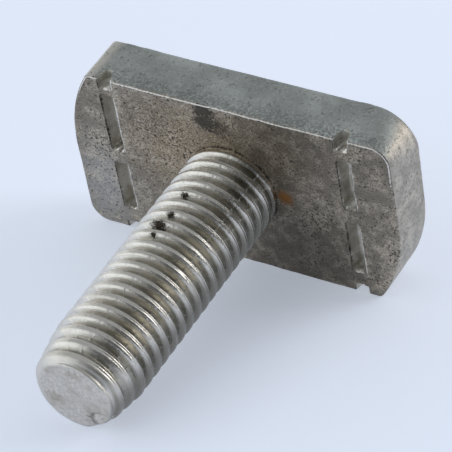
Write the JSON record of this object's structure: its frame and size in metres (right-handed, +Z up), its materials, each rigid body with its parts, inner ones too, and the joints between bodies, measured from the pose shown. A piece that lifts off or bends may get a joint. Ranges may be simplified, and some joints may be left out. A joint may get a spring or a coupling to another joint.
{
  "type": "t slot bolt",
  "caption": "T-head slot bolt, forged in one piece: flat head with arc corners and bridged cross grooves, threaded shank.",
  "frame": {"origin": "on the surface that the bolt lies on, under the middle of its box", "axes": "+X along the head, +Z up, -Y the way the shank points; the shank dips 10.6 degrees, as the bolt rests on the lower edge of the bearing face and on the shank's drawn-in point"},
  "size_m": [0.0362, 0.0378, 0.0203],
  "materials": {
    "steel": "as forged and rolled, dull, with light brown staining"
  },
  "bodies": {
    "root": {"t_slot_bolt": "steel"}
  },
  "joints": []
}
